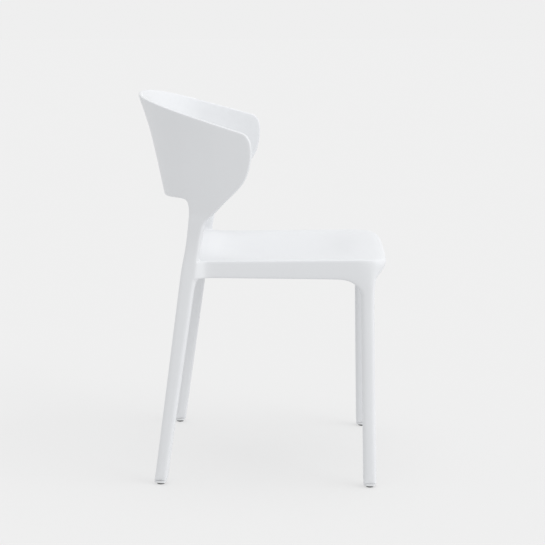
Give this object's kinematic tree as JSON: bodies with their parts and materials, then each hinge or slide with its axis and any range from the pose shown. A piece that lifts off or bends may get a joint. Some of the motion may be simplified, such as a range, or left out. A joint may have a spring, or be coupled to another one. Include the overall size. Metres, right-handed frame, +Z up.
{
  "type": "stacking chair",
  "caption": "One-piece moulded stacking chair with a curved winged back, open gap above the dished seat, slim splayed legs and dark glide pads.",
  "frame": {"origin": "on the floor, at the centre of the chair's bounding box", "axes": "+Z up, the sitter faces -Y, the sitter's right is -X"},
  "size_m": [0.53, 0.51, 0.775],
  "materials": {
    "white_plastic": "fine moulded texture, satin",
    "glide": "matte"
  },
  "bodies": {
    "root": {"backrest_panel": "white_plastic", "wing_right": "white_plastic", "wing_left": "white_plastic", "rear_leg_right": "white_plastic", "rear_leg_left": "white_plastic", "side_rail_right": "white_plastic", "side_rail_left": "white_plastic", "front_leg_right": "white_plastic", "front_leg_left": "white_plastic", "front_apron": "white_plastic", "rear_rail": "white_plastic", "seat_panel": "white_plastic", "foot_plug_rear_right": "white_plastic", "foot_plug_rear_left": "white_plastic", "foot_plug_front_right": "white_plastic", "foot_plug_front_left": "white_plastic", "glide_pad_rear_right": "glide", "glide_pad_rear_left": "glide", "glide_pad_front_right": "glide", "glide_pad_front_left": "glide"}
  },
  "joints": []
}
